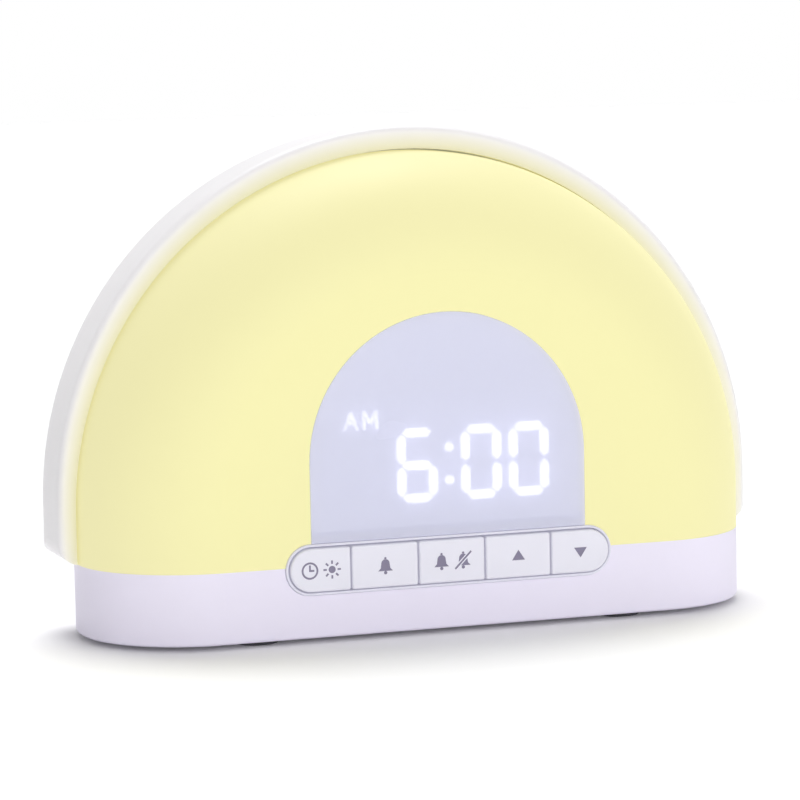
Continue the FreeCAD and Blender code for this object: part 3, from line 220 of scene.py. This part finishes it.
MASK_GREEN = (0.012, 0.10, 0.035, 1)
MASK_PALER_GREEN = (0.015, 0.13, 0.045, 1)
TRACK_GREEN = (0.03, 0.2, 0.08, 1)
TRACK_SHARE = 0.05


def circuit_board(name):
    """Green solder mask with fine tracks showing through it"""
    material, nodes, links, shader = new_material(name)
    where = position(nodes)
    tracks = add_node(nodes, "ShaderNodeTexBrick", Scale=260, Mortar_Size=TRACK_SHARE)
    set_inputs(tracks, Color1=MASK_GREEN, Color2=MASK_PALER_GREEN, Mortar=TRACK_GREEN)
    links.new(where, tracks.inputs["Vector"])
    links.new(tracks.outputs["Color"], shader.inputs["Base Color"])
    uneven_gloss(nodes, links, where, shader, gloss=(0.3, 0.45), scale=120)
    grain(nodes, links, where, shader, scale=900, height=0.02 * MM)
    return material


# The lit diffuser: its colour on screen, the share of it that reflects and the glow that adds the rest
DOME_YELLOW = tone(246, 241, 186)
DOME_REFLECTED = 0.42
DOME_GLOW = 0.58 / DOME_REFLECTED

# Distances from the middle of the lamp ring, and the shares of red, green and blue there
DOME_DISTANCES = (30 * MM, 58 * MM, 85 * MM)
DOME_SHARES = [(0.985, 0.985, 0.93), (1.0, 1.0, 0.93), (0.975, 0.97, 0.96)]


def diffuser_plastic():
    """Frosted plastic lit from inside: even and pale yellow, a little fuller over the ring of lamps"""
    material, nodes, links, shader = new_material("frosted_diffuser")
    where = position(nodes)
    ring_centre = (0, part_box("light_board")[0].y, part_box("light_leds")[0].z)
    ramp = nodes.new("ShaderNodeValToRGB")
    ramp.color_ramp.interpolation = "EASE"
    stops = ramp.color_ramp.elements
    inner, middle, outer = DOME_DISTANCES
    stops[0].position = inner
    stops[1].position = outer
    stops.new(middle)
    for stop, shares in zip(stops, DOME_SHARES):
        stop.color = opaque(DOME_YELLOW, [share * DOME_REFLECTED for share in shares])
    links.new(distance_from(nodes, links, where, ring_centre), ramp.inputs["Fac"])
    links.new(ramp.outputs["Color"], shader.inputs["Base Color"])
    links.new(ramp.outputs["Color"], shader.inputs["Emission Color"])
    set_inputs(shader, Emission_Strength=DOME_GLOW, Specular_IOR_Level=0.25)
    uneven_gloss(nodes, links, where, shader, gloss=(0.5, 0.6), scale=60)
    grain(nodes, links, where, shader, scale=3200, height=0.02 * MM)
    return material


# The painted glow and shade on the housing's lip, for the diffuser's warm light and the shade beside it: full
# down to the first depth, gone at the second
LIP_PAINTED_GLOW_AND_SHADE = tone(230, 226, 188)
LIP_DEPTHS = (2 * MM, 5 * MM)


def housing_plastic():
    """White plastic with a painted warm glow and painted shade on its front lip, next to the lit diffuser"""
    material = moulded("housing_white", tone(240, 238, 240), gloss=(0.4, 0.5))
    nodes = material.node_tree.nodes
    links = material.node_tree.links
    shader = nodes["Principled BSDF"]
    plain = shader.inputs["Base Color"].links[0].from_socket
    low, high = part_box("diffuser")
    radius = (high.x - low.x) / 2
    outer_low, outer_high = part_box("rear_housing")
    where = position(nodes)
    flat = nodes.new("ShaderNodeVectorMath")
    flat.operation = "MULTIPLY"
    flat.inputs[1].default_value = (1, 0, 1)
    links.new(where, flat.inputs[0])
    away = distance_from(nodes, links, flat.outputs["Vector"], (0, 0, high.z - radius))
    split = nodes.new("ShaderNodeSeparateXYZ")
    links.new(where, split.inputs["Vector"])
    across = falling(nodes, links, away, radius, outer_high.x)
    start, end = [outer_low.y + depth for depth in LIP_DEPTHS]
    deep = falling(nodes, links, split.outputs["Y"], start, end)
    mix = nodes.new("ShaderNodeMix")
    mix.data_type = "RGBA"
    links.new(combined(nodes, links, "MULTIPLY", across, deep), mix.inputs["Factor"])
    plain_side, painted_glow_side = [socket for socket in mix.inputs if socket.type == "RGBA"]
    links.new(plain, plain_side)
    # Painted light: the lip is warmed and darkened where the diffuser's glow and the shade beside it fall
    painted_glow_side.default_value = opaque(LIP_PAINTED_GLOW_AND_SHADE)
    mixed = [socket for socket in mix.outputs if socket.type == "RGBA"][0]
    links.new(mixed, shader.inputs["Base Color"])
    return material


LENS_LAVENDER = tone(216, 217, 234)
# The lens is no lamp: its glow is painted light
LENS_PAINTED_GLOW = 0.14
LENS_COVER = 0.62


def lens_plastic():
    """Pale lavender window, milky enough to hide the unlit parts of the display, with a faint painted glow
    that lightens it
    """
    material, nodes, links, shader = new_material("window_lens")
    where = position(nodes)
    shade = tint(nodes, links, where, LENS_LAVENDER, spread=0.008, scale=30)
    links.new(shade, shader.inputs["Base Color"])
    links.new(shade, shader.inputs["Emission Color"])
    set_inputs(shader, Emission_Strength=LENS_PAINTED_GLOW, Alpha=LENS_COVER)
    uneven_gloss(nodes, links, where, shader, gloss=(0.22, 0.3), scale=40)
    grain(nodes, links, where, shader, scale=2400, height=0.008 * MM)
    return material


# Painted glow on plain plastic parts that are no lamps: it lifts the shade in the key gaps and inside the
# display window
KEY_PAINTED_GLOW = 0.12
SHROUD_PAINTED_GLOW = 0.36
DISPLAY_PAINTED_GLOW = 0.3
BAR_GLOW = 1.7
MARKER_GLOW = 1.3
LAMP_GLOW = 1.2


def dress_nodes():
    """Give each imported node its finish"""
    touched = {"spread": 0.008, "grain_scale": 3000, "glow": KEY_PAINTED_GLOW}
    case = moulded("case_white", tone(236, 231, 248))
    key = moulded("key_white", tone(233, 232, 243), gloss=(0.36, 0.44), grain_height=0.02 * MM, **touched)
    bezel = moulded("bezel_white", tone(226, 225, 238), gloss=(0.3, 0.38), grain_height=0.01 * MM, **touched)
    # The shroud, display block and unlit bars take a painted glow that lightens the inside of the display
    # window
    shroud = moulded("shroud_white", tone(214, 216, 238), gloss=(0.6, 0.7), glow=SHROUD_PAINTED_GLOW)
    display = moulded("display_block_white", tone(212, 215, 238), gloss=(0.5, 0.6), glow=DISPLAY_PAINTED_GLOW)
    unlit = moulded("unlit_bars", tone(208, 211, 235), gloss=(0.5, 0.6), glow=DISPLAY_PAINTED_GLOW)
    dark = moulded("black_plastic", tone(38, 38, 41), gloss=(0.45, 0.6), spread=0.05, grain_scale=1600)
    sleeve = moulded("capacitor_sleeve", tone(60, 66, 110), gloss=(0.3, 0.4), spread=0.05)
    socket = moulded("socket_nylon", tone(235, 232, 222), gloss=(0.5, 0.6))
    cable = moulded("cable_grey", tone(196, 196, 202), gloss=(0.5, 0.6), spread=0.03, grain_scale=900)
    soft = {"gloss": (0.75, 0.9), "spread": 0.06, "grain_scale": 1500, "grain_height": 0.06 * MM}
    rubber = moulded("foot_rubber", tone(74, 74, 78), **soft)
    steel = metal("zinc_steel", tone(200, 202, 206))
    brass = metal("plated_contact", tone(214, 200, 160))
    board = circuit_board("solder_mask")
    bars = glowing("lit_bars", tone(250, 251, 255), BAR_GLOW)
    marker = glowing("lit_marker", tone(246, 247, 253), MARKER_GLOW)
    lamp = glowing("warm_lamp", tone(255, 240, 190), LAMP_GLOW)
    finishes = {
        "base_shell": case,
        "bottom_plate": case,
        "battery_door": case,
        "rear_housing": housing_plastic(),
        "diffuser": diffuser_plastic(),
        "display_lens": lens_plastic(),
        "display_shroud": shroud,
        "display_block": display,
        "unlit_segments": unlit,
        "lit_segments": bars,
        "colon_dots": bars,
        "time_marker": marker,
        "light_leds": lamp,
        "key_bezel": bezel,
        "rubber_feet": rubber,
        "chips": dark,
        "buzzer": dark,
        "dc_inlet": dark,
        "key_switches": dark,
        "capacitors": sleeve,
        "cable_sockets": socket,
        "display_ribbon": cable,
        "key_ribbon": cable,
        "light_wires": cable,
        "cell_leaf": brass,
        "cell_clip": brass,
        "coin_cell": steel,
        "crystal_can": steel,
        "dc_inlet_pin": steel,
    }
    for name, item in NODES.items():
        if name in finishes:
            finish = finishes[name]
        elif name in KEY_NODES:
            finish = key
        elif name.startswith("plunger_"):
            finish = dark
        elif name.endswith("_board"):
            finish = board
        else:
            finish = steel
        for slot in item.material_slots:
            slot.material = finish


# Key symbols, printed on the key faces

PRINT_THICKNESS = 0.04 * MM
CURVE_STEPS = 40
SYMBOL = 3.9 * MM
SUN = SYMBOL * 1.05
ARROW = SYMBOL * 0.8
LINE = 0.42 * MM
SPACING = 2.6 * MM

# The clock's hands, as shares of its radius
UPRIGHT_HAND = 0.66
LEVEL_HAND = 0.52

# The sun's disc and rays, as shares of its size
SUN_RAYS = 8
SUN_DISC = 0.2
RAY_START = 0.31
RAY_END = 0.5

# The bell, in halves of its size: height and radius of each round part, then the flank from dome to rim
BELL_KNOB = (0.86, 0.14)
BELL_DOME = (0.25, 0.5)
BELL_CLAPPER = (-0.82, 0.2)
BELL_FLANK = [(0.5, 0.25), (0.58, -0.3), (0.9, -0.62)]

# Half the gap that the bar leaves in the bell, as a share of the bar's width
BAR_CLEARANCE = 1.1

# The arrow's foot and tip, as shares of its size
ARROW_FOOT = 0.3
ARROW_TIP = 0.45


def ring(x, y, radius, sweep=2 * math.pi):
    """Points around a circle, or around its upper part"""
    turns = [sweep * step / CURVE_STEPS for step in range(CURVE_STEPS)]
    return [(x + radius * math.cos(turn), y + radius * math.sin(turn)) for turn in turns]


def stroke(x0, y0, x1, y1, width):
    """A straight line of some width"""
    start = Vector((x0, y0))
    end = Vector((x1, y1))
    run = end - start
    side = Vector((-run.y, run.x)).normalized() * width / 2
    return [tuple(corner) for corner in (start + side, end + side, end - side, start - side)]


def clock_symbol(x, y, size, line):
    outer = size / 2
    half = line / 2
    tall = outer * UPRIGHT_HAND
    wide = outer * LEVEL_HAND
    hands = [(-half, -half), (wide, -half), (wide, half), (half, half), (half, tall), (-half, tall)]
    return [[ring(x, y, outer), ring(x, y, outer - line)], [[(x + dx, y + dy) for dx, dy in hands]]]


def sun_symbol(x, y, size, line):
    shapes = [[ring(x, y, size * SUN_DISC)]]
    for index in range(SUN_RAYS):
        turn = 2 * math.pi * index / SUN_RAYS
        way = Vector((math.cos(turn), math.sin(turn)))
        near = way * size * RAY_START
        far = way * size * RAY_END
        shapes.append([stroke(x + near.x, y + near.y, x + far.x, y + far.y, line)])
    return shapes


def bell_symbol(x, y, size):
    """A bell: a dome that flares to its rim, with a knob above it and a clapper below"""
    half = size / 2
    knob, dome, clapper = [
        (y + half * height, half * radius) for height, radius in (BELL_KNOB, BELL_DOME, BELL_CLAPPER)
    ]
    left = [(x - half * across, y + half * up) for across, up in BELL_FLANK]
    right = [(x + half * across, y + half * up) for across, up in reversed(BELL_FLANK)]
    body = ring(x, *dome, sweep=math.pi) + left + right
    return [[body], [ring(x, *clapper)], [ring(x, *knob)]]


def part_beyond(loop, way, least):
    """The part of a loop that lies at least this far in a direction"""
    result = []
    for before, after in zip(loop[-1:] + loop[:-1], loop):
        behind = Vector(before).dot(way) - least
        ahead = Vector(after).dot(way) - least
        if behind * ahead < 0:
            crossing = Vector(before).lerp(Vector(after), behind / (behind - ahead))
            result.append((crossing.x, crossing.y))
        if ahead >= 0:
            result.append(after)
    return result


def barred_bell_symbol(x, y, size, line):
    """A bell that a slanting bar crosses, with a clear edge on both sides of the bar"""
    reach = size / 2
    shapes = [[stroke(x - reach, y - reach, x + reach, y + reach, line)]]
    for sign in (-1, 1):
        way = Vector((-sign, sign)).normalized()
        least = Vector((x, y)).dot(way) + line * BAR_CLEARANCE
        for loops in bell_symbol(x, y, size):
            part = part_beyond(loops[0], way, least)
            if part:
                shapes.append([part])
    return shapes


def arrow_symbol(x, y, size, upwards):
    sign = 1 if upwards else -1
    foot = y - sign * size * ARROW_FOOT
    return [[[(x - size / 2, foot), (x + size / 2, foot), (x, y + sign * size * ARROW_TIP)]]]


def key_symbols():
    """The shapes that stand on each key, in the key's own X and Z"""
    return {
        "time": clock_symbol(-SPACING, 0, SYMBOL, LINE) + sun_symbol(SPACING, 0, SUN, LINE),
        "alarm": bell_symbol(0, 0, SYMBOL),
        "alarm_switch": bell_symbol(-SPACING, 0, SYMBOL) + barred_bell_symbol(SPACING, 0, SYMBOL, LINE),
        "up": arrow_symbol(0, 0, ARROW, upwards=True),
        "down": arrow_symbol(0, 0, ARROW, upwards=False),
    }


def printed(name, shapes, centre, face, finish):
    """Thin ink shapes that lie on a face looking towards -Y"""
    data = bpy.data.curves.new(name, "CURVE")
    data.dimensions = "2D"
    data.fill_mode = "BOTH"
    data.extrude = PRINT_THICKNESS / 2
    for loops in shapes:
        for loop in loops:
            spline = data.splines.new("POLY")
            spline.points.add(len(loop) - 1)
            for point, (x, y) in zip(spline.points, loop):
                point.co = (x, y, 0, 1)
            spline.use_cyclic_u = True
    flat = bpy.data.objects.new(name, data)
    bpy.context.scene.collection.objects.link(flat)
    bpy.context.view_layer.update()
    mesh = bpy.data.meshes.new_from_object(flat)
    bpy.data.objects.remove(flat)
    upright = Matrix.Rotation(math.pi / 2, 4, "X")
    place = Matrix.Translation((centre.x, face - PRINT_THICKNESS / 2, centre.z))
    mesh.transform(place @ upright)
    mesh.materials.append(finish)
    piece = bpy.data.objects.new(name, mesh)
    bpy.context.scene.collection.objects.link(piece)
    return piece


def print_keys():
    """Print each key's symbol on its face; it rides with the key"""
    matt = {"gloss": (0.5, 0.6), "spread": 0.05, "grain_scale": 1200, "grain_height": 0.01 * MM}
    ink = moulded("key_ink", tone(128, 122, 146), **matt)
    for name, shapes in key_symbols().items():
        low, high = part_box(f"key_{name}")
        piece = printed(f"symbol_{name}", shapes, (low + high) / 2, low.y, ink)
        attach(piece, f"key_{name}_body")


# Setting

FLOOR_SIDE = 8.0
FLOOR_WHITE = (0.96, 0.96, 0.965)
FLOOR_LIFT = 0.03
SKY_LEVEL = 0.38

# The lights: where each comes from, its spread in degrees and what it gives a white face turned to it
LIGHTS = {
    "top_light": ((0.1, 0.42, 1.0), 32, 0.67),
    "front_light": ((0.12, -1.0, 0.18), 50, 0.46),
}


def seen(nodes, links):
    """1 where the camera, a reflection or a view through clear plastic looks, otherwise 0"""
    path = nodes.new("ShaderNodeLightPath")
    result = path.outputs["Is Camera Ray"]
    for other in ("Is Glossy Ray", "Is Transmission Ray"):
        result = combined(nodes, links, "MAXIMUM", result, path.outputs[other])
    return result


def floor_finish():
    """Nearly white, with a faint lift that only seen rays take, so that it meets the white background"""
    material, nodes, links, shader = new_material("pale_floor")
    shade = tint(nodes, links, position(nodes), FLOOR_WHITE, spread=0.004, scale=6)
    links.new(shade, shader.inputs["Base Color"])
    lift = nodes.new("ShaderNodeMath")
    lift.operation = "MULTIPLY"
    lift.inputs[1].default_value = FLOOR_LIFT
    links.new(seen(nodes, links), lift.inputs[0])
    links.new(lift.outputs[0], shader.inputs["Emission Strength"])
    set_inputs(shader, Emission_Color=(1, 1, 1, 1), Roughness=0.85, Specular_IOR_Level=0.2)
    return material


def make_floor():
    half = FLOOR_SIDE / 2
    mesh = bpy.data.meshes.new("floor")
    corners = [(-half, -half, 0), (half, -half, 0), (half, half, 0), (-half, half, 0)]
    mesh.from_pydata(corners, [], [(0, 1, 2, 3)])
    mesh.materials.append(floor_finish())
    floor = bpy.data.objects.new("floor", mesh)
    bpy.context.scene.collection.objects.link(floor)


def make_world():
    """Even studio light, white wherever the camera or a reflection looks past the object"""
    world = bpy.data.worlds.new("studio")
    bpy.context.scene.world = world
    world.use_nodes = True
    nodes = world.node_tree.nodes
    links = world.node_tree.links
    nodes.clear()
    sky = add_node(nodes, "ShaderNodeBackground", Color=(1, 1, 1, 1), Strength=SKY_LEVEL)
    white = add_node(nodes, "ShaderNodeBackground", Color=(1, 1, 1, 1), Strength=1.0)
    mix = nodes.new("ShaderNodeMixShader")
    links.new(seen(nodes, links), mix.inputs["Fac"])
    links.new(sky.outputs[0], mix.inputs[1])
    links.new(white.outputs[0], mix.inputs[2])
    output = nodes.new("ShaderNodeOutputWorld")
    links.new(mix.outputs[0], output.inputs["Surface"])


def add_soft_light(name, towards, spread, level):
    """A broad, even light from one side"""
    data = bpy.data.lights.new(name, "SUN")
    data.angle = math.radians(spread)
    data.energy = level * math.pi
    light = bpy.data.objects.new(name, data)
    light.location = Vector(towards).normalized()
    light.rotation_euler = Vector(towards).to_track_quat("Z", "Y").to_euler()
    bpy.context.scene.collection.objects.link(light)


make_camera()
dress_nodes()
print_keys()
make_floor()
make_world()
for light_name, (towards, spread, level) in LIGHTS.items():
    add_soft_light(light_name, towards, spread, level)
bpy.context.scene.view_settings.view_transform = "Standard"
